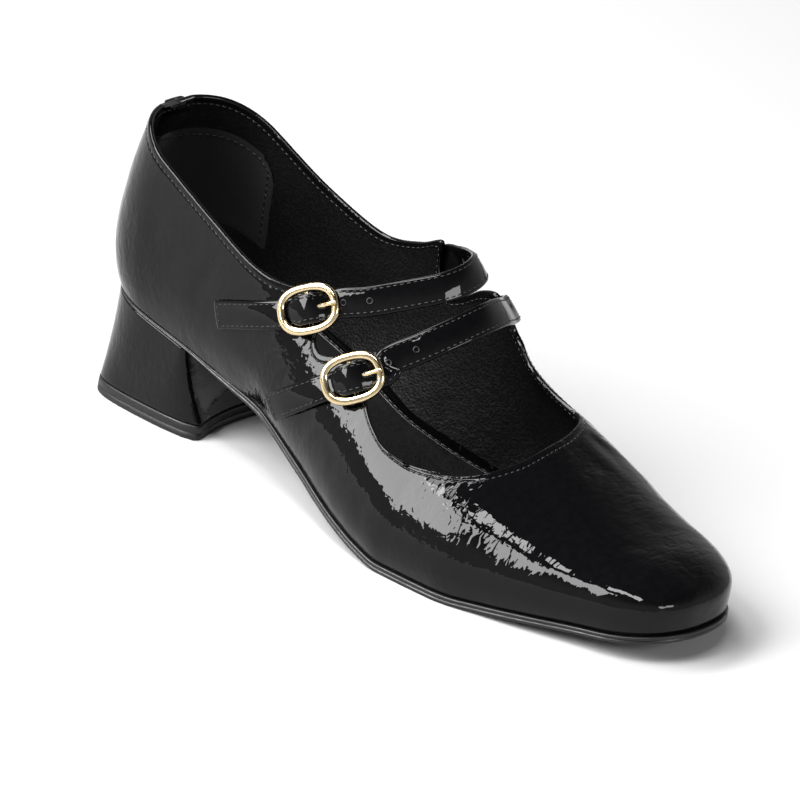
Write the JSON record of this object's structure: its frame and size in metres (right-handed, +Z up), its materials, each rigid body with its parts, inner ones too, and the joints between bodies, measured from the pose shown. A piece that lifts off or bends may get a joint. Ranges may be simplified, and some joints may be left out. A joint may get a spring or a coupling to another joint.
{
  "type": "mary jane shoe",
  "caption": "Patent leather mary jane with an open throat, buckled instep straps, a thin sole and a low block heel.",
  "frame": {"origin": "middle of the shoe's length and width, on the floor plane under the heel lift and the ball of the sole", "axes": "+Z up, toe towards -Y, inner (medial) side towards +X"},
  "size_m": [0.083, 0.2479, 0.0976],
  "materials": {
    "patent": "high gloss patent",
    "sole": "satin",
    "lining": "matte",
    "gold": "polished pale gold"
  },
  "bodies": {
    "root": {"upper": "patent", "outsole": "sole", "insole": "lining", "heel_block": "patent", "heel_lift": "sole", "strap_ankle": "patent", "strap_instep": "patent", "buckle_tab_ankle": "patent", "buckle_tab_instep": "patent", "buckle_frame_ankle": "gold", "buckle_frame_instep": "gold", "buckle_prong_ankle": "gold", "buckle_prong_instep": "gold"}
  },
  "joints": []
}
